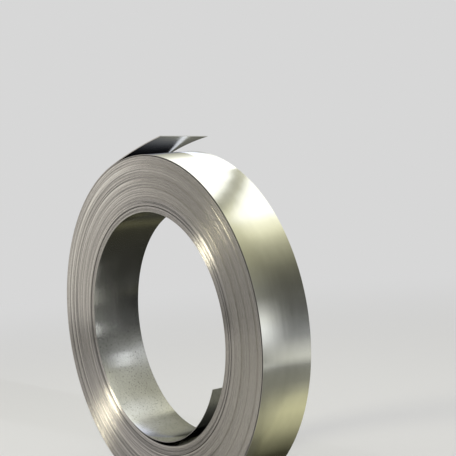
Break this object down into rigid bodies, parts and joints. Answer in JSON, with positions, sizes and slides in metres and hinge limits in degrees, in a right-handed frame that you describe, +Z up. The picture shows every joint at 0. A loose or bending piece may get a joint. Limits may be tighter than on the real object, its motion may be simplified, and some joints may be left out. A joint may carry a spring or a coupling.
{
  "type": "steel strip coil",
  "caption": "Narrow coil of slit steel strip standing on its rim, with a wide bore, a loose inner end and an outer end standing off the rim.",
  "frame": {"origin": "on the floor under the middle of the coil", "axes": "+Z up, Y along the coil's axis with the front end towards -Y, +X to the right seen from the front"},
  "size_m": [0.758, 0.1236, 0.7936],
  "materials": {
    "steel_strip": "satin, with fine marks running along the strip"
  },
  "bodies": {
    "root": {"strip_coil": "steel_strip"}
  },
  "joints": []
}
